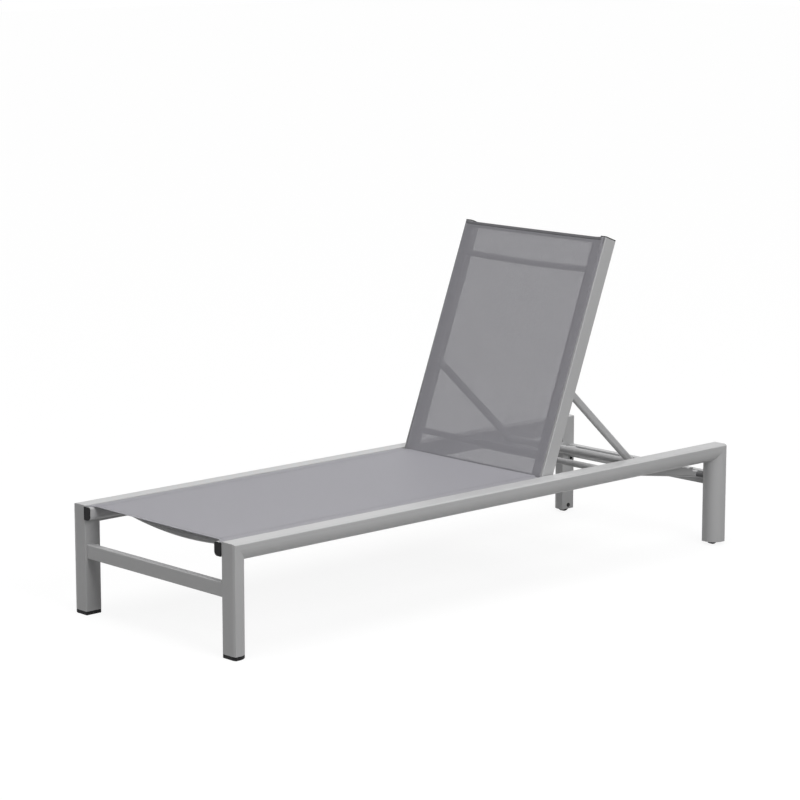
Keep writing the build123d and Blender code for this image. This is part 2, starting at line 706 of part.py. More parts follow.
# Wheels and their axles, inside the rear legs
for hand, name in hands:
    with BuildPart() as wheel_tyre:
        round_bar(wheel_at, hand, wheel_inner_side, wheel_outer_side, wheel_radius)
        fillet(wheel_tyre.edges().filter_by(GeomType.CIRCLE), radius=wheel_tyre_round)
        round_bar(wheel_at, hand, wheel_inner_side, wheel_outer_side, wheel_hub_radius + wheel_tyre_gap,
                  Mode.SUBTRACT)
    save(wheel_tyre, f"wheel_tyre_{name}")

    with BuildPart() as wheel_hub:
        round_bar(wheel_at, hand, wheel_inner_side, wheel_outer_side, wheel_hub_radius)
        for side, inward in ((wheel_inner_side, 1), (wheel_outer_side, -1)):
            with BuildSketch(Plane.XZ.offset(-hand * side)):
                with Locations(wheel_at):
                    Circle(wheel_recess_outer)
                    Circle(wheel_recess_inner, mode=Mode.SUBTRACT)
            extrude(amount=-hand * inward * wheel_recess_depth, mode=Mode.SUBTRACT)
        round_bar(wheel_at, hand, wheel_inner_side, wheel_outer_side, wheel_axle_radius + running_gap,
                  Mode.SUBTRACT)
    save(wheel_hub, f"wheel_hub_{name}")

    with BuildPart() as wheel_axle:
        axle_end = inner_face + profile_width - profile_wall - axle_outer_end_gap
        outer_collar_start = wheel_outer_side + wheel_side_gap
        round_bar(wheel_at, hand, inner_face - axle_head_height, inner_face, axle_head_radius)
        fillet(wheel_axle.edges().sort_by(Axis((0, 0, 0), (0, hand, 0)))[0], radius=axle_head_round)
        round_bar(wheel_at, hand, inner_face, outer_collar_start, wheel_axle_radius)
        round_bar(wheel_at, hand, inner_face + profile_wall, wheel_inner_side - wheel_side_gap,
                  axle_collar_radius)
        round_bar(wheel_at, hand, outer_collar_start, axle_end, axle_collar_radius)
    save(wheel_axle, f"wheel_axle_{name}")
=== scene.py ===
"""Looks of a sling sun lounger.

The tubes get a satin silver coat, the slings are woven mesh sheets with sewn hems, the
fasteners have socket heads, and a plain white studio holds it all.
"""

import json
import math

import bmesh
import bpy
from mathutils import Matrix, Vector


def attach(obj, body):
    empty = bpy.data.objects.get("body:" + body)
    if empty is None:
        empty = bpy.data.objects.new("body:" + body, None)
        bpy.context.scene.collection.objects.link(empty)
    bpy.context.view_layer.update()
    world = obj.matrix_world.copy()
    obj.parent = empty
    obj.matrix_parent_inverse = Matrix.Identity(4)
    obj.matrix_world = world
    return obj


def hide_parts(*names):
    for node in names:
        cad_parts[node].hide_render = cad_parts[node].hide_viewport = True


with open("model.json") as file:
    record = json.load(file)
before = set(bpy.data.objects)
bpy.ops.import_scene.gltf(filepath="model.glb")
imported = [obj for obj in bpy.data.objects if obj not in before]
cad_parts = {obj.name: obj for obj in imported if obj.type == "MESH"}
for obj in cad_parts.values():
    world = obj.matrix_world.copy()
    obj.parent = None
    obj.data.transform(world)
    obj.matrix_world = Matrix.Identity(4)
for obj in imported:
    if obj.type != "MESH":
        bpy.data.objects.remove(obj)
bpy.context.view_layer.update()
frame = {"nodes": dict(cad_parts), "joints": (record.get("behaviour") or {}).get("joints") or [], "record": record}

bl_info = {
    "name": "Sling sun lounger",
    "version": (1, 0, 0),
    "blender": (4, 5, 0),
    "location": "3D View > Sidebar > Lounger",
    "description": "Dresses the packed lounger with its slings, hems, fasteners, finishes and studio",
    "category": "Object",
}

MILLIMETRE = 0.001
CLOTH_MAP = "ClothMetres"
BEADS_TREE = "Beads along lines"
FACING = "facing"
HINGE = next(joint for joint in frame["joints"] if joint["name"] == "backrest_hinge")

# Fasteners as (node, head height, shank radius, socket width, finish), in millimetres
FASTENERS = (
    ("front_stretcher_bolts", 3.5, 3.0, 4.0, "steel"),
    ("seat_rail_screws", 2.4, 2.5, 4.0, "coat"),
    ("rear_stretcher_bolts", 3.5, 3.0, 4.0, "black"),
    ("rack_bolts", 4.0, 3.0, 5.0, "black"),
)
WELDED_BARS = {
    "frame": ("cross_tube", "seat_bow_bar_front", "seat_bow_bar_middle", "seat_bow_bar_rear"),
    "backrest": ("back_bow_bar_lower", "back_bow_bar_upper"),
}
SLOT_OF_NODE = {part["node"]: part["material_slot"] for part in frame["record"]["subparts"]}
FINISH_OF_SLOT = {
    "coated_aluminium": "coat",
    "black_plastic": "plastic",
    "rod_plastic": "rod",
    "tyre_rubber": "rubber",
    "black_fasteners": "black",
    "steel_fasteners": "steel",
}
FINISH_OF_NODE = {"rack_sleeves": "sleeve"}

# How a sling lies on its rails
CLOTH_OVER_RAIL = 0.55 * MILLIMETRE
EDGE_BEND = 1.4 * MILLIMETRE
LOOP_GAP = 0.1 * MILLIMETRE
LOOP_TURN = math.radians(235)
DRAWN_LENGTH = 120 * MILLIMETRE

# How finely the slings, their loops and seams and the rings of the welds are divided
CLOTH_STEPS = 48
MIDDLE_STEPS = 16
CORNER_STEPS = 10
BEND_STEPS = 4
LOOP_STEPS = 14
FOLD_STEPS = 6
HEM_STEPS = 4
SIDE_HEM_STEPS = 6
SIDE_SEAM_STEPS = 60
END_SEAM_STEPS = 40
RING_STEPS = 36

# Where seams and side hems lie, from the edges of the cloth
SIDE_SEAMS = (3 * MILLIMETRE, 8 * MILLIMETRE)
SEAM_FROM_HEM_EDGE = 3 * MILLIMETRE
SEAM_FROM_END = 2 * MILLIMETRE
SIDE_HEM_FROM_END = 1 * MILLIMETRE
SIDE_HEM_FROM_BEND = 0.2 * MILLIMETRE

# Where the wide lamps shine, and how much of what the floor's glow lacks of white it sends back
OVERHEAD_DIRECTION = (0.06, 0.0, -1.0)
FOOT_LIGHT_DIRECTION = (1.0, 0.15, -1.0)
FLOOR_RETURN = 1.3

# Tolerances for finding the rim of a bar's end, the ends of a rail and joined mesh points
RIM_BAND = 0.05 * MILLIMETRE
RAIL_END_BAND = 30 * MILLIMETRE
SAME_POINT = 0.001 * MILLIMETRE


class LoungerCloth(bpy.types.PropertyGroup):
    """Sizes and colours of the two slings."""

    weave_pitch: bpy.props.FloatProperty(
        name="Weave pitch", description="Distance from one pair of yarns to the next",
        default=1.6 * MILLIMETRE, precision=5, unit="LENGTH")
    open_share: bpy.props.FloatProperty(
        name="Open share", description="Width of a hole beside the weave pitch",
        default=0.39, min=0.0, max=0.9, subtype="FACTOR")
    thickness: bpy.props.FloatProperty(
        name="Sheet thickness", description="Distance between the two faces of the woven sheet",
        default=0.22 * MILLIMETRE, precision=5, unit="LENGTH")
    hem_width: bpy.props.FloatProperty(
        name="End hem", description="How far the ends of a sling are folded under",
        default=18 * MILLIMETRE, precision=4, unit="LENGTH")
    side_hem_width: bpy.props.FloatProperty(
        name="Side hem", description="Width of the double cloth along the rails",
        default=35 * MILLIMETRE, precision=4, unit="LENGTH")
    hem_fold: bpy.props.FloatProperty(
        name="Hem fold", description="Distance between the layers of an end hem",
        default=0.9 * MILLIMETRE, precision=5, unit="LENGTH")
    seat_sag: bpy.props.FloatProperty(
        name="Seat sag", description="How far the middle of the seat hangs under its edges",
        default=1.0 * MILLIMETRE, precision=5, unit="LENGTH")
    back_sag: bpy.props.FloatProperty(
        name="Back sag", description="How far the middle of the backrest lies behind its edges",
        default=3 * MILLIMETRE, precision=5, unit="LENGTH")
    foot_margin: bpy.props.FloatProperty(
        name="Foot margin",
        description="How far the seat's corners at the foot end lie behind the rails' caps",
        default=5 * MILLIMETRE, precision=5, unit="LENGTH")
    foot_drawn_in: bpy.props.FloatProperty(
        name="Foot hem drawn in",
        description="How far the hem at the foot end lies behind its two corners",
        default=16 * MILLIMETRE, precision=5, unit="LENGTH")
    hinge_reach: bpy.props.FloatProperty(
        name="Hinge hem reach", description="How far the seat's hem at the hinge lies past its corners",
        default=13 * MILLIMETRE, precision=5, unit="LENGTH")
    back_drawn_in: bpy.props.FloatProperty(
        name="Back hems drawn in", description="How far the hems of the backrest lie behind their corners",
        default=1.5 * MILLIMETRE, precision=5, unit="LENGTH")
    corner_width: bpy.props.FloatProperty(
        name="Corner", description="Width of the corner that stays out beside each rail",
        default=28 * MILLIMETRE, precision=5, unit="LENGTH")
    # Painted shade: a dark tape over the top hem of the backrest stands in for the shade along that hem.
    hem_shade_tape_width: bpy.props.FloatProperty(
        name="Binding", description="Width of the tape that is sewn over the top of the backrest",
        default=8 * MILLIMETRE, precision=5, unit="LENGTH")
    hem_shade_tape_lift: bpy.props.FloatProperty(
        name="Binding lift", description="Distance of the tape from the middle of the cloth",
        default=0.5 * MILLIMETRE, precision=5, unit="LENGTH")
    stitch_length: bpy.props.FloatProperty(
        name="Stitch", description="Length of one stitch of the hem seams",
        default=3 * MILLIMETRE, precision=5, unit="LENGTH")
    stitch_pitch: bpy.props.FloatProperty(
        name="Stitch pitch", description="Distance from one stitch to the next",
        default=4 * MILLIMETRE, precision=5, unit="LENGTH")
    thread_width: bpy.props.FloatProperty(
        name="Thread", description="Thickness of the sewing thread",
        default=0.5 * MILLIMETRE, precision=5, unit="LENGTH")
    yarn_colour: bpy.props.FloatVectorProperty(
        name="Yarn", description="Colour of the coated yarn", default=(0.373, 0.368, 0.398),
        min=0.0, max=1.0, subtype="COLOR")
    # Painted shade: the tape's dark colour stands in for the shade along the backrest's top hem.
    hem_shade_tape_colour: bpy.props.FloatVectorProperty(
        name="Binding colour", description="Colour of the tape", default=(0.17, 0.168, 0.178),
        min=0.0, max=1.0, subtype="COLOR")
    # Painted light and shade: the seat's copy of the one yarn is made lighter and the backrest's copy darker, to
    # stand for how each is lit.
    seat_painted_light: bpy.props.FloatProperty(
        name="Seat tone", description="Lightness of the seat's cloth beside the yarn colour",
        default=1.07, min=0.0, soft_max=1.2, subtype="FACTOR")
    back_painted_shade: bpy.props.FloatProperty(
        name="Back tone", description="Lightness of the backrest's cloth beside the yarn colour",
        default=0.85, min=0.0, soft_max=1.2, subtype="FACTOR")
    thread_colour: bpy.props.FloatVectorProperty(
        name="Thread colour", description="Colour of the sewing thread", default=(0.34, 0.335, 0.363),
        min=0.0, max=1.0, subtype="COLOR")


class LoungerFinish(bpy.types.PropertyGroup):
    """Colours and gloss of the tubes, caps and fasteners."""

    coat_colour: bpy.props.FloatVectorProperty(
        name="Coat", description="Colour of the powder coat on the tubes", default=(0.545, 0.545, 0.548),
        min=0.0, max=1.0, subtype="COLOR")
    coat_roughness: bpy.props.FloatProperty(
        name="Coat roughness", description="Roughness of the powder coat",
        default=0.4, min=0.0, max=1.0, subtype="FACTOR")
    plastic_colour: bpy.props.FloatVectorProperty(
        name="Plastic", description="Colour of the moulded caps and washers", default=(0.012, 0.012, 0.013),
        min=0.0, max=1.0, subtype="COLOR")
    sleeve_colour: bpy.props.FloatVectorProperty(
        name="Sleeves", description="Colour of the moulded sleeves beside the rack bolts",
        default=(0.16, 0.16, 0.163), min=0.0, max=1.0, subtype="COLOR")
    rod_colour: bpy.props.FloatVectorProperty(
        name="Rods", description="Colour of the rods inside the sling edges", default=(0.55, 0.55, 0.53),
        min=0.0, max=1.0, subtype="COLOR")
    rubber_colour: bpy.props.FloatVectorProperty(
        name="Rubber", description="Colour of the tyres", default=(0.012, 0.012, 0.012),
        min=0.0, max=1.0, subtype="COLOR")
    black_colour: bpy.props.FloatVectorProperty(
        name="Black bolts", description="Colour of the coated bolts", default=(0.012, 0.012, 0.012),
        min=0.0, max=1.0, subtype="COLOR")
    steel_colour: bpy.props.FloatVectorProperty(
        name="Steel", description="Colour of the bright screws and pins", default=(0.6, 0.6, 0.59),
        min=0.0, max=1.0, subtype="COLOR")
    weld_width: bpy.props.FloatProperty(
        name="Weld", description="Width of the weld round a bar's end",
        default=2.6 * MILLIMETRE, precision=5, unit="LENGTH")


class LoungerStudio(bpy.types.PropertyGroup):
    """Camera and light."""

    camera_place: bpy.props.FloatVectorProperty(
        name="Camera", description="Where the camera stands", default=(-5.584, -5.928, 2.031),
        subtype="TRANSLATION", unit="LENGTH")
    camera_turn: bpy.props.FloatProperty(
        name="Camera turn", description="Which way the camera looks, from +X towards +Y",
        default=math.radians(47.04), subtype="ANGLE")
    camera_dip: bpy.props.FloatProperty(
        name="Camera dip", description="How far the camera looks down",
        default=math.radians(10.45), subtype="ANGLE")
    lens: bpy.props.FloatProperty(
        name="Lens", description="Focal length on the camera's sensor", default=127.93, unit="CAMERA")
    sky: bpy.props.FloatProperty(
        name="Sky", description="Strength of the even light from all round", default=0.02, min=0.0)
    overhead: bpy.props.FloatProperty(
        name="Overhead light", description="Strength of the wide lamp overhead", default=1.84, min=0.0)
    foot_light: bpy.props.FloatProperty(
        name="Foot light", description="Strength of the wide lamp over the foot end", default=0.44, min=0.0)
    lamp_spread: bpy.props.FloatProperty(
        name="Lamp spread", description="How wide the overhead and foot lamps are",
        default=math.radians(48), subtype="ANGLE")
    softbox: bpy.props.FloatProperty(
        name="Softbox", description="Power of the softbox beside the seat",
        default=134.0, min=0.0, unit="POWER")
    softbox_place: bpy.props.FloatVectorProperty(
        name="Softbox place", description="Where the softbox stands", default=(-0.9, -4.8, 3.4),
        subtype="TRANSLATION", unit="LENGTH")
    softbox_size: bpy.props.FloatProperty(
        name="Softbox size", description="Length of a side of the softbox", default=2.8, unit="LENGTH")
    floor_size: bpy.props.FloatProperty(
        name="Floor", description="Length of a side of the floor", default=60.0, unit="LENGTH")
    floor_shade: bpy.props.FloatProperty(
        name="Floor shade", description="How much light the floor sends back up",
        default=0.3, min=0.0, max=1.0, subtype="FACTOR")
    floor_white: bpy.props.FloatProperty(
        name="Floor white",
        description="How bright the floor looks to the camera before light falls on it",
        default=0.9, min=0.0, max=1.0, subtype="FACTOR")


class Value:
    """An output of a node tree. Arithmetic on it adds Math nodes, and node() adds any other kind."""

    def __init__(self, tree, socket=None):
        self.tree = tree
        self.socket = socket

    def node(self, kind, settings=None, sockets=None, output=0):
        """Adds a node: first its settings, then the values or links of its sockets. Returns one output."""
        made = self.tree.nodes.new(kind)
        for name, setting in (settings or {}).items():
            setattr(made, name, setting)
        for name, given in (sockets or {}).items():
            if isinstance(given, Value):
                self.tree.links.new(given.socket, made.inputs[name])
            else:
                made.inputs[name].default_value = given
        return Value(self.tree, made.outputs[output])

    def maths(self, operation, *given):
        return self.node("ShaderNodeMath", {"operation": operation}, dict(enumerate(given)))

    def __add__(self, other):
        return self.maths("ADD", self, other)

    __radd__ = __add__

    def __sub__(self, other):
        return self.maths("SUBTRACT", self, other)

    def __rsub__(self, other):
        return self.maths("SUBTRACT", other, self)

    def __mul__(self, other):
        return self.maths("MULTIPLY", self, other)

    __rmul__ = __mul__

    def __truediv__(self, other):
        return self.maths("DIVIDE", self, other)

    def __rtruediv__(self, other):
        return self.maths("DIVIDE", other, self)

    def whole(self):
        return self.maths("FLOOR", self)

    def part(self):
        return self.maths("FRACT", self)

    def size(self):
        return self.maths("ABSOLUTE", self)

    def most(self, other):
        return self.maths("MAXIMUM", self, other)

    def step(self, low, high):
        """0 below low, 1 above high and a smooth rise between."""
        return self.node("ShaderNodeMapRange", {"interpolation_type": "SMOOTHSTEP"},
                         {"Value": self, "From Min": low, "From Max": high})

    def mix(self, first, second):
        """The colour first where this value is 0 and second where it is 1."""
        return self.node("ShaderNodeMix", {"data_type": "RGBA"}, {0: self, 6: first, 7: second}, 2)

    def noise(self, scale, detail=2.0):
        """A noise that takes this vector as its place."""
        return self.node("ShaderNodeTexNoise", {}, {"Vector": self, "Scale": scale, "Detail": detail})

    def bump(self, distance, strength):
        """A normal from this value as a height."""
        return self.node("ShaderNodeBump", {},
                         {"Height": self, "Distance": distance, "Strength": strength})


def shade(colour, share):
    """A colour made lighter or darker, ready for a socket."""
    return (*(min(part * share, 1.0) for part in colour), 1.0)


def new_material(name):
    """A material with a plain Principled shader. Returns it, the shader and a value to build with."""
    material = bpy.data.materials.new(name)
    material.use_nodes = True
    shader = material.node_tree.nodes["Principled BSDF"]
    return material, shader, Value(material.node_tree)


def plug(shader, **values):
    """Links values to the shader's sockets, and sets plain numbers and colours on them."""
    for name, given in values.items():
        socket = shader.inputs[name.replace("_", " ").title().replace("Ior", "IOR")]
        if isinstance(given, Value):
            given.tree.links.new(given.socket, socket)
        else:
            socket.default_value = given


def object_place(start):
    return start.node("ShaderNodeTexCoord", output="Object")


def coat_material(name, finish):
    """Satin silver powder coat: fine orange peel, faint clouds and flakes that glint."""
    material, shader, start = new_material(name)
    place = object_place(start)
    clouds = place.noise(7.0, 3.0)
    peel = place.noise(700.0)
    flakes = place.noise(2600.0, 1.0)
    plug(shader,
         base_color=(clouds * 0.7 + flakes * 0.3).mix(shade(finish.coat_colour, 0.94),
                                                      shade(finish.coat_colour, 1.06)),
         roughness=peel * 0.12 + (finish.coat_roughness - 0.06),
         specular_ior_level=0.4,
         normal=peel.bump(0.12 * MILLIMETRE, 0.35))
    return material


def plastic_material(name, colour, roughness=0.6, gloss=0.2):
    """Moulded plastic with a fine spark-eroded grain."""
    material, shader, start = new_material(name)
    place = object_place(start)
    grain = place.noise(1500.0)
    patches = place.noise(40.0)
    plug(shader,
         base_color=patches.mix(shade(colour, 0.85), shade(colour, 1.2)),
         roughness=patches * 0.15 + (roughness - 0.07),
         specular_ior_level=gloss,
         normal=grain.bump(0.15 * MILLIMETRE, 0.4))
    return material


def rubber_material(name, finish):
    """Tyre rubber with fine grooves round the wheel and a dusty bloom."""
    material, shader, start = new_material(name)
    place = object_place(start)
    across = place.node("ShaderNodeSeparateXYZ", {}, {0: place}, 1)
    grooves = ((across / (3.2 * MILLIMETRE)).part() - 0.5).size().step(0.32, 0.42)
    dust = place.noise(120.0, 4.0)
    plug(shader,
         base_color=dust.mix(shade(finish.rubber_colour, 0.8), shade(finish.rubber_colour, 1.6)),
         roughness=dust * 0.2 + 0.65,
         specular_ior_level=0.2,
         normal=(grooves * -1.0 + dust * 0.2).bump(0.4 * MILLIMETRE, 0.6))
    return material


def metal_material(name, colour, roughness, metal, gloss=0.5):
    """Turned steel or coated steel, with faint marks across it."""
    material, shader, start = new_material(name)
    place = object_place(start)
    stretched = place.node("ShaderNodeMapping", {}, {"Vector": place, "Scale": (1.0, 14.0, 1.0)})
    marks = stretched.noise(900.0, 3.0)
    plug(shader,
         base_color=marks.mix(shade(colour, 0.88), shade(colour, 1.1)),
         roughness=marks * 0.16 + (roughness - 0.08),
         metallic=metal,
         specular_ior_level=gloss,
         normal=marks.bump(0.04 * MILLIMETRE, 0.3))
    return material


def thread_material(name, colour):
    """Twisted or woven polyester thread."""
    material, shader, start = new_material(name)
    place = object_place(start)
    fibres = place.noise(2500.0, 3.0)
    plug(shader,
         base_color=fibres.mix(shade(colour, 0.8), shade(colour, 1.2)),
         roughness=fibres * 0.2 + 0.6,
         normal=fibres.bump(0.1 * MILLIMETRE, 0.5))
    return material


def mesh_cloth_material(name, cloth, share):
    """Coated yarns in pairs, over and under, with holes between them, laid by the cloth's own map. share paints
    light or shade into the yarn's colour.
    """
    material, shader, start = new_material(name)
    spot = start.node("ShaderNodeUVMap", {"uv_map": CLOTH_MAP})
    across = spot.node("ShaderNodeSeparateXYZ", {}, {0: spot}, 0) / cloth.weave_pitch
    along = spot.node("ShaderNodeSeparateXYZ", {}, {0: spot}, 1) / cloth.weave_pitch
    edge = cloth.open_share / 2
    soft = 0.02
    off_across = (across.part() - 0.5).size()
    off_along = (along.part() - 0.5).size()
    hole = (1 - off_across.step(edge - soft, edge + soft)) * (1 - off_along.step(edge - soft, edge + soft))
    yarn_share = 1 - cloth.open_share
    across_yarn = 1 - ((off_across - 0.5).size() / (yarn_share / 2)).step(0.2, 1.0)
    along_yarn = 1 - ((off_along - 0.5).size() / (yarn_share / 2)).step(0.2, 1.0)
    turn = (((across + 0.5).whole() + (along + 0.5).whole()) * 0.5).part() * 2
    height = (across_yarn * (0.4 + turn * 0.6)).most(along_yarn * (1 - turn * 0.6))
    row = across.node("ShaderNodeTexWhiteNoise", {"noise_dimensions": "1D"}, {"W": (across + 0.5).whole()})
    column = along.node("ShaderNodeTexWhiteNoise", {"noise_dimensions": "1D"},
                        {"W": (along + 0.5).whole() + 0.37})
    clouds = object_place(start).noise(5.0, 3.0)
    tone = row * 0.3 + column * 0.3 + clouds * 0.4
    # The yarn colour times share: painted light on the seat, painted shade on the backrest.
    plug(shader,
         base_color=tone.mix(shade(cloth.yarn_colour, 0.93 * share),
                             shade(cloth.yarn_colour, 1.07 * share)),
         roughness=tone * 0.12 + 0.52,
         alpha=1 - hole,
         normal=height.bump(0.25 * MILLIMETRE, 0.6))
    return material


def placed_at(origin, angle):
    """A frame with X along a sling, Y across it and Z out of its face. angle is its slope."""
    along = Vector((math.cos(angle), 0.0, math.sin(angle)))
    across = Vector((0.0, 1.0, 0.0))
    turned = Matrix((along, across, along.cross(across))).transposed()
    return Matrix.Translation(origin) @ turned.to_4x4()


def corners_in(node, place):
    """Lowest and highest corner of a CAD node in a sling's own frame."""
    back = place.inverted()
    points = [back @ vertex.co for vertex in frame["nodes"][node].data.vertices]
    low = Vector([min(point[axis] for point in points) for axis in range(3)])
    high = Vector([max(point[axis] for point in points) for axis in range(3)])
    return low, high


def spread(first, last, count):
    """count + 1 even steps from first to last, both included."""
    return [first + (last - first) * number / count for number in range(count + 1)]


def lengths_along(points):
    """How far each point of a line lies along it."""
    found = [0.0]
    for before, after in zip(points, points[1:]):
        found.append(found[-1] + math.dist(before, after))
    return found


class SlingShape:
    """Where a sling's cloth lies, in its own frame, worked out from the rails and the groove rods."""

    def __init__(self, cloth, rail, rods, place, ends, drawn, sag):
        low, high = corners_in(rail, place)
        rod_low, rod_high = corners_in(rods, place)
        self.cloth = cloth
        self.place = place
        self.start, self.end = ends
        self.start_in, self.end_in = drawn
        self.sag = sag
        self.rod_radius = (rod_high.z - rod_low.z) / 2
        self.rod_height = (rod_high.z + rod_low.z) / 2
        self.reach = rod_high.y - self.rod_radius
        self.level = high.z + cloth.hem_fold + CLOTH_OVER_RAIL
        self.flat = self.reach - EDGE_BEND

    def share(self, y):
        """1 in the middle of the sling and 0 at its rails."""
        return max(0.0, 1.0 - (y / self.flat) ** 2)

    def drawn_in(self, x, y):
        """x with both end hems drawn in towards the middle, apart from their corners beside the rails."""
        near_start = max(0.0, 1.0 - abs(x - self.start) / DRAWN_LENGTH)
        near_end = max(0.0, 1.0 - abs(x - self.end) / DRAWN_LENGTH)
        rise = min(max((self.flat - abs(y)) / self.cloth.corner_width, 0.0), 1.0)
        middle = rise * rise * (3.0 - 2.0 * rise)
        return x + middle * (self.start_in * near_start - self.end_in * near_end)

    def stations(self):
        """Places across the cloth from its middle to the rail, closer together at the corner."""
        corner = self.flat - self.cloth.corner_width
        return spread(0.0, corner, MIDDLE_STEPS) + spread(corner, self.flat, CORNER_STEPS)[1:]

    def point(self, x, y, below=0.0):
        """A point on the cloth, or that far below it, in the lounger's frame."""
        return self.place @ Vector((self.drawn_in(x, y), y, self.level - self.sag * self.share(y) - below))

    def half_section(self):
        """The cloth from its middle to the end of its loop round the rod, as (y, z, share of the fold)."""
        points = [(y, self.level - self.sag * self.share(y), 1.0) for y in self.stations()]
        bend_low = self.level - EDGE_BEND
        for angle in spread(math.pi / 2, 0.0, BEND_STEPS)[1:]:
            points.append((self.flat + EDGE_BEND * math.cos(angle), bend_low + EDGE_BEND * math.sin(angle),
                           max(0.0, math.sin(angle))))
        loop = self.rod_radius + LOOP_GAP + self.cloth.thickness
        for angle in spread(math.pi / 2, -LOOP_TURN, LOOP_STEPS):
            points.append((self.reach + loop * math.cos(angle), self.rod_height + loop * math.sin(angle),
                           0.0))
        return points

    def section(self):
        """The cloth's whole section, from one rod to the other."""
        half = self.half_section()
        return [(-y, z, fold) for y, z, fold in reversed(half[1:])] + half

    def run(self):
        """The cloth from one hem's edge, round its fold, along and round to the other, as (x, drop)."""
        fold = self.cloth.hem_fold
        middle = self.start + fold / 2
        hem = [(x, fold) for x in spread(self.start + self.cloth.hem_width, middle, HEM_STEPS)]
        for angle in spread(-math.pi / 2, -3 * math.pi / 2, FOLD_STEPS)[1:-1]:
            hem.append((middle + fold / 2 * math.cos(angle), fold / 2 - fold / 2 * math.sin(angle)))
        far = [(self.start + self.end - x, drop) for x, drop in reversed(hem)]
        return hem + [(x, 0.0) for x in spread(middle, self.end - fold / 2, CLOTH_STEPS)] + far


def new_object(name, data):
    """An object in the scene's own collection."""
    made = bpy.data.objects.new(name, data)
    bpy.context.scene.collection.objects.link(made)
    return made


def grid_object(name, rows, metres, material):
    """A mesh from rows of points, with a map that gives each point's place on the flat cloth in metres."""
    across = len(rows[0])
    faces = [(row * across + column, (row + 1) * across + column,
              (row + 1) * across + column + 1, row * across + column + 1)
             for row in range(len(rows) - 1) for column in range(across - 1)]
    mesh = bpy.data.meshes.new(name)
    mesh.from_pydata([tuple(point) for row in rows for point in row], [], faces)
    flat = [spot for row in metres for spot in row]
    layer = mesh.uv_layers.new(name=CLOTH_MAP)
    for loop in mesh.loops:
        layer.data[loop.index].uv = flat[loop.vertex_index]
    mesh.materials.append(material)
    mesh.shade_smooth()
    return new_object(name, mesh)


def made_plain(made):
    """Turns an object's modifiers into its own plain mesh."""
    bpy.context.view_layer.update()
    graph = bpy.context.evaluated_depsgraph_get()
    mesh = bpy.data.meshes.new_from_object(made.evaluated_get(graph), depsgraph=graph)
    mesh.name = made.name
    made.modifiers.clear()
    made.data = mesh
    return made


def thickened(made, thickness):
    solid = made.modifiers.new("Thickness", "SOLIDIFY")
    solid.thickness = thickness
    solid.offset = 0.0
    return made_plain(made)


def sling_sheet(name, shape, material):
    """One sling with its folded ends and the loops round its rods. Returns it and its flat size."""
    section, run = shape.section(), shape.run()
    across = lengths_along([(y, z) for y, z, _ in section])
    along = lengths_along(run)
    rows = [[shape.place @ Vector((shape.drawn_in(x, y), y, z - drop * fold)) for y, z, fold in section]
            for x, drop in run]
    metres = [[(u, v) for u in across] for v in along]
    sheet = thickened(grid_object(name, rows, metres, material), shape.cloth.thickness)
    return sheet, (across[-1], along[-1])


def side_hems(name, shape, material):
    """The second layer of cloth along both rails, as two closed strips."""
    below = shape.cloth.hem_fold * 0.6
    inner, outer = shape.reach - shape.cloth.side_hem_width, shape.flat - SIDE_HEM_FROM_BEND
    strips = []
    for hand in (-1, 1):
        ys = spread(*((inner, outer) if hand > 0 else (-outer, -inner)), SIDE_HEM_STEPS)
        xs = spread(shape.start + SIDE_HEM_FROM_END, shape.end - SIDE_HEM_FROM_END, CLOTH_STEPS)
        rows = [[shape.point(x, y, below) for y in ys] for x in xs]
        metres = [[(y, x) for y in ys] for x in xs]
        strips.append(grid_object(f"{name}_{hand + 1}", rows, metres, material))
    return thickened(joined(name, strips), shape.cloth.thickness)


def top_hem_shade_tape(name, shape, material):
    """A dark tape folded over the upper end of a sling, painted shade along its top hem."""
    cloth = shape.cloth
    fold, lift = cloth.hem_fold, cloth.hem_shade_tape_lift
    edge, turn = shape.end - cloth.hem_shade_tape_width, shape.end - fold / 2
    path = [(x, -lift) for x in spread(edge, turn, HEM_STEPS)]
    for angle in spread(math.pi / 2, -math.pi / 2, FOLD_STEPS)[1:-1]:
        path.append((turn + (fold / 2 + lift) * math.cos(angle),
                     fold / 2 - (fold / 2 + lift) * math.sin(angle)))
    path += [(x, fold + lift) for x in spread(turn, edge, HEM_STEPS)]
    half = [y for y in shape.stations() if y < shape.flat]
    ys = [-y for y in reversed(half[1:])] + half
    rows = [[shape.point(x, y, below) for y in ys] for x, below in path]
    return thickened(grid_object(name, rows, [[(y, x) for y in ys] for x, _ in path], material),
                     cloth.thickness)


def joined(name, objects):
    """One object from several meshes that already lie in place."""
    whole = bmesh.new()
    for piece in objects:
        whole.from_mesh(piece.data)
    mesh = bpy.data.meshes.new(name)
    whole.to_mesh(mesh)
    whole.free()
    for material in objects[0].data.materials:
        mesh.materials.append(material)
    for piece in objects:
        bpy.data.objects.remove(piece)
    return new_object(name, mesh)


def lines_object(name, lines):
    """A mesh of open or closed lines. Each line is (points, closed)."""
    points, edges = [], []
    for line, closed in lines:
        first = len(points)
        points += [tuple(point) for point in line]
        edges += [(first + number, first + number + 1) for number in range(len(line) - 1)]
        if closed:
            edges.append((len(points) - 1, first))
    mesh = bpy.data.meshes.new(name)
    mesh.from_pydata(points, edges, [])
    return new_object(name, mesh)


def new_tree(name, inputs):
    """An empty Geometry Nodes tree with its inputs and a geometry output."""
    tree = bpy.data.node_groups.new(name, "GeometryNodeTree")
    for label, kind in inputs:
        tree.interface.new_socket(label, in_out="INPUT", socket_type=kind)
    tree.interface.new_socket("Geometry", in_out="OUTPUT", socket_type="NodeSocketGeometry")
    entry = tree.nodes.new("NodeGroupInput")
    given = {socket.name: Value(tree, socket) for socket in entry.outputs if socket.name}
    return tree, Value(tree), given


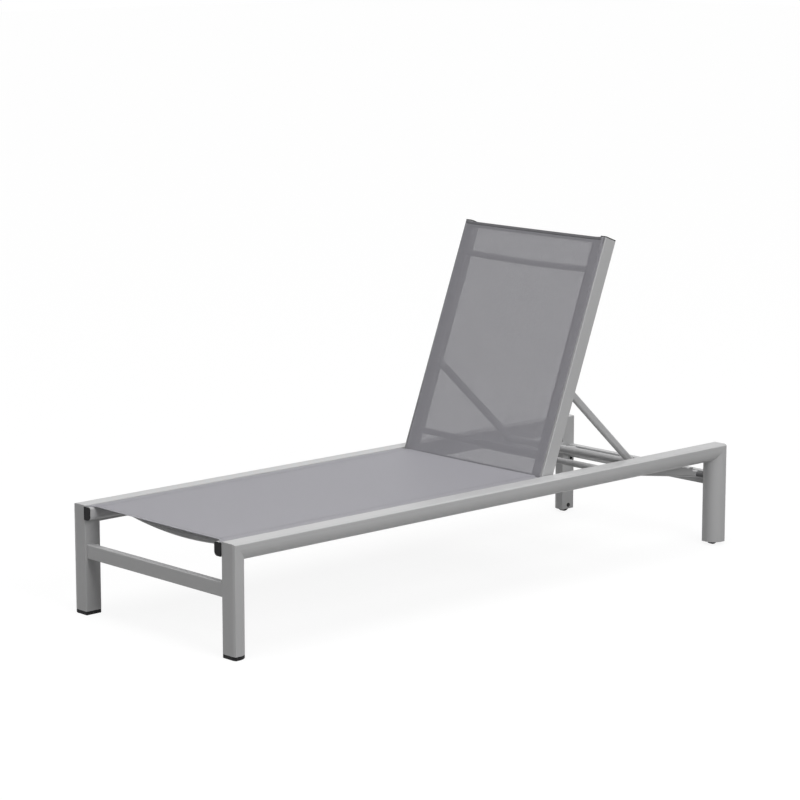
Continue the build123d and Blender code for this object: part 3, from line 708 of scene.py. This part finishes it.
def finish_tree(tree, instances, material):
    """Realizes the instances, gives them their material and sends them out."""
    real = instances.node("GeometryNodeRealizeInstances", {}, {"Geometry": instances})
    dressed = real.node("GeometryNodeSetMaterial", {}, {"Geometry": real, "Material": material})
    leave = tree.nodes.new("NodeGroupOutput")
    tree.links.new(dressed.socket, leave.inputs[0])
    return tree


def beads_tree():
    """Small beads laid end to end along lines: stitches of a seam, or the ripples of a weld."""
    tree, start, given = new_tree(BEADS_TREE, (
        ("Geometry", "NodeSocketGeometry"), ("Spacing", "NodeSocketFloat"), ("Size", "NodeSocketVector"),
        ("Facing", "NodeSocketVector"), ("Material", "NodeSocketMaterial")))
    curve = start.node("GeometryNodeMeshToCurve", {}, {"Mesh": given["Geometry"]})
    evenly = start.node("GeometryNodeResampleCurve", {"mode": "LENGTH"},
                        {"Curve": curve, "Length": given["Spacing"]})
    tangent = start.node("GeometryNodeInputTangent")
    along = start.node("FunctionNodeAlignRotationToVector", {"axis": "X"}, {"Vector": tangent})
    upright = start.node("FunctionNodeAlignRotationToVector", {"axis": "Z", "pivot_axis": "X"},
                         {"Rotation": along, "Vector": given["Facing"]})
    bead = start.node("GeometryNodeMeshUVSphere", {}, {"Segments": 6, "Rings": 4, "Radius": 0.5})
    rounded = start.node("GeometryNodeSetShadeSmooth", {}, {"Geometry": bead})
    laid = start.node("GeometryNodeInstanceOnPoints", {}, {
        "Points": evenly, "Instance": rounded, "Rotation": upright, "Scale": given["Size"]})
    return finish_tree(tree, laid, given["Material"])


def fasteners_tree():
    """One fastener at each point, turned to its own facing."""
    tree, start, given = new_tree("Fasteners at points", (
        ("Geometry", "NodeSocketGeometry"), ("Fastener", "NodeSocketObject"),
        ("Material", "NodeSocketMaterial")))
    facing = start.node("GeometryNodeInputNamedAttribute", {"data_type": "FLOAT_VECTOR"},
                        {"Name": FACING})
    turned = start.node("FunctionNodeAlignRotationToVector", {"axis": "Z"}, {"Vector": facing})
    shape = start.node("GeometryNodeObjectInfo", {"transform_space": "ORIGINAL"},
                       {"Object": given["Fastener"]}, "Geometry")
    laid = start.node("GeometryNodeInstanceOnPoints", {},
                      {"Points": given["Geometry"], "Instance": shape, "Rotation": turned})
    return finish_tree(tree, laid, given["Material"])


def grown(made, tree, values):
    """Runs a tree on an object with values for its inputs, and keeps the result as a plain mesh."""
    modifier = made.modifiers.new(tree.name, "NODES")
    modifier.node_group = tree
    names = {item.name: item.identifier for item in tree.interface.items_tree if item.in_out == "INPUT"}
    for name, value in values.items():
        modifier[names[name]] = value
    return made_plain(made)


def hem_seams(name, shape, tree, thread):
    """Two rows of stitches along each side hem and one along each end hem."""
    cloth = shape.cloth
    above = -(cloth.thickness + cloth.thread_width) / 2
    lines = []
    for hand in (-1, 1):
        for back in SIDE_SEAMS:
            y = hand * (shape.reach - cloth.side_hem_width + back)
            xs = spread(shape.start + SEAM_FROM_END, shape.end - SEAM_FROM_END, SIDE_SEAM_STEPS)
            lines.append(([shape.point(x, y, above) for x in xs], False))
    seam_in = cloth.hem_width - SEAM_FROM_HEM_EDGE
    for x in (shape.start + seam_in, shape.end - seam_in):
        ys = spread(-shape.flat, shape.flat, END_SEAM_STEPS)
        lines.append(([shape.point(x, y, above) for y in ys], False))
    facing = shape.place.to_3x3() @ Vector((0.0, 0.0, 1.0))
    return grown(lines_object(name, lines), tree, {
        "Spacing": cloth.stitch_pitch, "Facing": facing, "Material": thread,
        "Size": (cloth.stitch_length, cloth.thread_width, cloth.thread_width)})


def end_rings(node, out_of_corner):
    """A circle round each end of a cross bar, a little out of the corner that it makes with its rail."""
    points = [vertex.co for vertex in frame["nodes"][node].data.vertices]
    reach = max(point.y for point in points)
    rings = []
    for hand in (-1, 1):
        rim = [point for point in points if abs(point.y - hand * reach) < RIM_BAND]
        lows = [min(point[axis] for point in rim) for axis in (0, 2)]
        highs = [max(point[axis] for point in rim) for axis in (0, 2)]
        middle = [(low + high) / 2 for low, high in zip(lows, highs)]
        radius = (highs[0] - lows[0]) / 2 + out_of_corner
        ring = [(middle[0] + radius * math.cos(angle), hand * (reach - out_of_corner),
                 middle[1] + radius * math.sin(angle)) for angle in spread(0.0, math.tau, RING_STEPS)[:-1]]
        rings.append((ring, True))
    return rings


def separate_solids(node):
    """Lowest and highest corner of each separate solid of a CAD node."""
    whole = bmesh.new()
    whole.from_mesh(frame["nodes"][node].data)
    bmesh.ops.remove_doubles(whole, verts=whole.verts, dist=SAME_POINT)
    left, found = set(whole.verts), []
    while left:
        waiting, members = [left.pop()], []
        while waiting:
            vertex = waiting.pop()
            members.append(vertex.co.copy())
            near = {edge.other_vert(vertex) for edge in vertex.link_edges} & left
            left -= near
            waiting += near
        found.append((Vector([min(co[axis] for co in members) for axis in range(3)]),
                      Vector([max(co[axis] for co in members) for axis in range(3)])))
    whole.free()
    return sorted(found, key=lambda box: tuple(box[0]))


def socket_screw(name, head_radius, head_height, shank_radius, length, socket_width):
    """A button head with a hexagonal socket, and its shank. Its face is at zero and looks along +Z."""
    sides = 24
    depth = head_height * 0.6
    angles = [math.tau * number / sides for number in range(sides)]
    sixth = math.pi / 3
    hexagon = [socket_width / 2 / math.cos((angle + sixth / 2) % sixth - sixth / 2) for angle in angles]
    rings = [
        ([radius * 0.96 for radius in hexagon], -depth), (hexagon, -depth * 0.15),
        ([radius * 1.08 for radius in hexagon], 0.0),
        ([head_radius * 0.72] * sides, 0.0), ([head_radius * 0.9] * sides, -head_height * 0.22),
        ([head_radius] * sides, -head_height * 0.6), ([head_radius] * sides, -head_height),
        ([shank_radius] * sides, -head_height), ([shank_radius] * sides, -length),
    ]
    whole = bmesh.new()
    loops = [[whole.verts.new((radius * math.cos(angle), radius * math.sin(angle), z))
              for radius, angle in zip(radii, angles)] for radii, z in rings]
    for inner, outer in zip(loops, loops[1:]):
        for number in range(sides):
            after = (number + 1) % sides
            whole.faces.new((inner[number], outer[number], outer[after], inner[after]))
    whole.faces.new(reversed(loops[0]))
    whole.faces.new(loops[-1])
    bmesh.ops.recalc_face_normals(whole, faces=whole.faces)
    mesh = bpy.data.meshes.new(name)
    whole.to_mesh(mesh)
    whole.free()
    return bpy.data.objects.new(name, mesh)


def finish_materials(scene):
    """The finishes by name, made once. The slings go by the body that they ride on."""
    finish, cloth = scene.lounger_finish, scene.lounger_cloth
    makers = {
        "coat": ("silver_powder_coat", coat_material, finish),
        "plastic": ("black_moulded_plastic", plastic_material, finish.plastic_colour),
        "sleeve": ("grey_moulded_sleeve", plastic_material, finish.sleeve_colour),
        "rod": ("pale_extruded_rod", plastic_material, finish.rod_colour, 0.45, 0.5),
        "rubber": ("tyre_rubber_black", rubber_material, finish),
        "black": ("black_coated_steel", metal_material, finish.black_colour, 0.42, 0.0, 0.25),
        "steel": ("bright_steel", metal_material, finish.steel_colour, 0.3, 1.0),
        # The two slings are lit and shaded copies of one woven cloth: painted light on the seat, painted shade on
        # the backrest.
        "frame": ("woven_seat_mesh", mesh_cloth_material, cloth, cloth.seat_painted_light),
        "backrest": ("woven_back_mesh", mesh_cloth_material, cloth, cloth.back_painted_shade),
        "thread": ("sewing_thread", thread_material, cloth.thread_colour),
        # The tape's dark colour is painted shade along the backrest's top hem.
        "binding": ("binding_tape", thread_material, cloth.hem_shade_tape_colour),
    }
    return {key: bpy.data.materials.get(name) or make(name, *values)
            for key, (name, make, *values) in makers.items()}


class LOUNGER_OT_finish_frame(bpy.types.Operator):
    """Give every CAD piece the finish that its material slot names"""

    bl_idname = "lounger.finish_frame"
    bl_label = "Finish the frame"

    def execute(self, context):
        finishes = finish_materials(context.scene)
        for node, name in SLOT_OF_NODE.items():
            finish = FINISH_OF_NODE.get(node, FINISH_OF_SLOT.get(name))
            if finish:
                for slot in frame["nodes"][node].material_slots:
                    slot.material = finishes[finish]
        return {"FINISHED"}


def stretch_sling(context, name, body, rail, rods, place, margin, drawn, sag):
    """Builds one sling with its hems and seams, and lets it stand for the plain one."""
    cloth = context.scene.lounger_cloth
    finishes = finish_materials(context.scene)
    low, high = corners_in(name, place)
    shape = SlingShape(cloth, rail, rods, place, (low.x + margin, high.x), drawn, sag)
    sheet, flat = sling_sheet(f"{name}_cloth", shape, finishes[body])
    hems = side_hems(f"{name}_side_hems", shape, finishes[body])
    tree = bpy.data.node_groups.get(BEADS_TREE) or beads_tree()
    seams = hem_seams(f"{name}_seams", shape, tree, finishes["thread"])
    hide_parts(name)
    extras = [hems, seams]
    # The dark tape over the top hem is painted shade.
    if body == "backrest":
        extras.append(top_hem_shade_tape(f"{name}_binding", shape, finishes["binding"]))
    for piece in (sheet, *extras):
        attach(piece, body)


class LOUNGER_OT_stretch_seat(bpy.types.Operator):
    """Stretch the woven seat over its two rails"""

    bl_idname = "lounger.stretch_seat"
    bl_label = "Seat sling"

    def execute(self, context):
        cloth = context.scene.lounger_cloth
        stretch_sling(context, "seat_sling", "frame", "seat_rail_left", "seat_edge_rods",
                      placed_at((0.0, 0.0, 0.0), 0.0), cloth.foot_margin,
                      (cloth.foot_drawn_in, -cloth.hinge_reach), cloth.seat_sag)
        return {"FINISHED"}


class LOUNGER_OT_stretch_back(bpy.types.Operator):
    """Stretch the woven back over the rails of the backrest"""

    bl_idname = "lounger.stretch_back"
    bl_label = "Backrest sling"

    def execute(self, context):
        cloth = context.scene.lounger_cloth
        stretch_sling(context, "back_sling", "backrest", "back_rail_left", "back_edge_rods",
                      placed_at(Vector(HINGE["pos_m"]), rail_slope("back_rail_left")), 0.0,
                      (cloth.back_drawn_in, cloth.back_drawn_in), cloth.back_sag)
        return {"FINISHED"}


def rail_slope(node):
    """The slope of a straight rail, from the middles of its two ends."""
    points = [vertex.co for vertex in frame["nodes"][node].data.vertices]
    top = max(point.z for point in points)
    bottom = min(point.z for point in points)
    upper = [point.x for point in points if point.z > top - RAIL_END_BAND]
    lower = [point.x for point in points if point.z < bottom + RAIL_END_BAND]
    return math.atan2(top - bottom, (max(upper) + min(upper)) / 2 - (max(lower) + min(lower)) / 2)


class LOUNGER_OT_fit_fasteners(bpy.types.Operator):
    """Fit the bolts and screws with button heads and hexagonal sockets"""

    bl_idname = "lounger.fit_fasteners"
    bl_label = "Fasteners"

    def execute(self, context):
        finishes = finish_materials(context.scene)
        tree = fasteners_tree()
        for node, head_height, shank_radius, socket_width, finish in FASTENERS:
            boxes = separate_solids(node)
            low, high = boxes[0]
            screw = socket_screw(f"{node}_shape", (high.x - low.x) / 2, head_height * MILLIMETRE,
                                 shank_radius * MILLIMETRE, high.y - low.y, socket_width * MILLIMETRE)
            heads, facings = [], []
            for low, high in boxes:
                hand = 1 if low.y > 0 else -1
                heads.append(((low.x + high.x) / 2, low.y if hand > 0 else high.y, (low.z + high.z) / 2))
                facings += [0.0, float(-hand), 0.0]
            points = lines_object(f"{node}_socket_heads", [([head], False) for head in heads])
            layer = points.data.attributes.new(FACING, "FLOAT_VECTOR", "POINT")
            layer.data.foreach_set("vector", facings)
            made = grown(points, tree, {"Fastener": screw, "Material": finishes[finish]})
            bpy.data.objects.remove(screw)
            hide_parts(node)
            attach(made, "frame")
        return {"FINISHED"}


class LOUNGER_OT_weld_bars(bpy.types.Operator):
    """Run a rippled weld round both ends of each cross bar"""

    bl_idname = "lounger.weld_bars"
    bl_label = "Welds"

    def execute(self, context):
        finishes = finish_materials(context.scene)
        width = context.scene.lounger_finish.weld_width
        out_of_corner, ripple_pitch, ripple_length = width * 0.15, width * 0.4, width * 0.8
        tree = bpy.data.node_groups.get(BEADS_TREE) or beads_tree()
        for body, bars in WELDED_BARS.items():
            rings = [ring for bar in bars for ring in end_rings(bar, out_of_corner)]
            made = grown(lines_object(f"{body}_bar_welds", rings), tree, {
                "Spacing": ripple_pitch, "Size": (ripple_length, width, width),
                "Facing": (0.0, 1.0, 0.0), "Material": finishes["coat"]})
            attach(made, body)
        return {"FINISHED"}


def aim(made, direction):
    """Turns a lamp or camera so that it looks along a direction."""
    made.rotation_mode = "QUATERNION"
    made.rotation_quaternion = direction.to_track_quat("-Z", "Y")


def add_lamp(name, kind, direction, strength):
    """A lamp that shines along a direction."""
    lamp = bpy.data.lights.new(name, kind)
    lamp.energy = strength
    made = new_object(name, lamp)
    aim(made, Vector(direction))
    return made


def white_world(studio):
    """Even light, and white for what the camera, metal and clear pieces see."""
    world = bpy.data.worlds.new("studio")
    world.use_nodes = True
    start = Value(world.node_tree)
    seen = start.node("ShaderNodeLightPath", output="Is Camera Ray")
    for ray in ("Is Glossy Ray", "Is Transmission Ray"):
        seen = seen.most(start.node("ShaderNodeLightPath", output=ray))
    background = world.node_tree.nodes["Background"]
    background.inputs["Color"].default_value = (1.0, 1.0, 1.0, 1.0)
    strength = seen * (1.0 - studio.sky) + studio.sky
    world.node_tree.links.new(strength.socket, background.inputs["Strength"])
    return world


def floor_material(studio):
    """A pale floor that looks white and keeps a faint shadow."""
    material, shader, start = new_material("pale_floor")
    camera = start.node("ShaderNodeLightPath", output="Is Camera Ray")
    glossy = start.node("ShaderNodeLightPath", output="Is Glossy Ray")
    through = start.node("ShaderNodeLightPath", output="Is Transmission Ray")
    pale = shade((1.0, 1.0, 1.0), studio.floor_shade)
    faint = shade((1.0, 1.0, 1.0), FLOOR_RETURN * (1.0 - studio.floor_white))
    glow = camera.most(through) * studio.floor_white + glossy * (1.0 - studio.floor_shade)
    plug(shader, base_color=camera.mix(pale, faint), roughness=1.0, specular_ior_level=0.0,
         emission_color=glow, emission_strength=1.0)
    return material


class LOUNGER_OT_set_stage(bpy.types.Operator):
    """Set up the floor, the light and the camera"""

    bl_idname = "lounger.set_stage"
    bl_label = "Stage"

    def execute(self, context):
        scene, studio = context.scene, context.scene.lounger_studio
        scene.view_settings.view_transform = "Standard"
        scene.world = white_world(studio)
        half = studio.floor_size / 2
        mesh = bpy.data.meshes.new("studio_floor")
        mesh.from_pydata([(-half, -half, 0.0), (half, -half, 0.0), (half, half, 0.0), (-half, half, 0.0)],
                         [], [(0, 1, 2, 3)])
        mesh.materials.append(floor_material(studio))
        new_object("studio_floor", mesh)
        for name, direction, strength in (("overhead", OVERHEAD_DIRECTION, studio.overhead),
                                          ("foot_light", FOOT_LIGHT_DIRECTION, studio.foot_light)):
            add_lamp(name, "SUN", direction, strength).data.angle = studio.lamp_spread
        softbox = add_lamp("softbox", "AREA", -Vector(studio.softbox_place), studio.softbox)
        softbox.data.size = studio.softbox_size
        softbox.location = studio.softbox_place
        lens = bpy.data.cameras.new("camera")
        lens.lens = studio.lens
        lens.clip_end = 100.0
        camera = new_object("camera", lens)
        camera.location = studio.camera_place
        level = math.cos(studio.camera_dip)
        aim(camera, Vector((level * math.cos(studio.camera_turn), level * math.sin(studio.camera_turn),
                            -math.sin(studio.camera_dip))))
        scene.camera = camera
        return {"FINISHED"}


class LOUNGER_PT_panel(bpy.types.Panel):
    """Lists the lounger's steps in the sidebar"""

    bl_idname = "LOUNGER_PT_panel"
    bl_label = "Sun lounger"
    bl_space_type = "VIEW_3D"
    bl_region_type = "UI"
    bl_category = "Lounger"

    def draw(self, context):
        for step in STEPS:
            self.layout.operator(step.bl_idname)
        for owner in GROUPS:
            group = getattr(context.scene, owner)
            box = self.layout.box()
            for name in group.__annotations__:
                box.prop(group, name)


GROUPS = {"lounger_cloth": LoungerCloth, "lounger_finish": LoungerFinish, "lounger_studio": LoungerStudio}
STEPS = (
    LOUNGER_OT_finish_frame, LOUNGER_OT_stretch_seat, LOUNGER_OT_stretch_back, LOUNGER_OT_fit_fasteners,
    LOUNGER_OT_weld_bars, LOUNGER_OT_set_stage,
)


def register():
    for made in (*GROUPS.values(), *STEPS, LOUNGER_PT_panel):
        bpy.utils.register_class(made)
    for name, group in GROUPS.items():
        setattr(bpy.types.Scene, name, bpy.props.PointerProperty(type=group))


def unregister():
    for name in GROUPS:
        delattr(bpy.types.Scene, name)
    for made in (LOUNGER_PT_panel, *reversed(STEPS), *GROUPS.values()):
        bpy.utils.unregister_class(made)


def main():
    register()
    bpy.ops.lounger.finish_frame()
    bpy.ops.lounger.stretch_seat()
    bpy.ops.lounger.stretch_back()
    bpy.ops.lounger.fit_fasteners()
    bpy.ops.lounger.weld_bars()
    bpy.ops.lounger.set_stage()


if __name__ == "__main__":
    main()
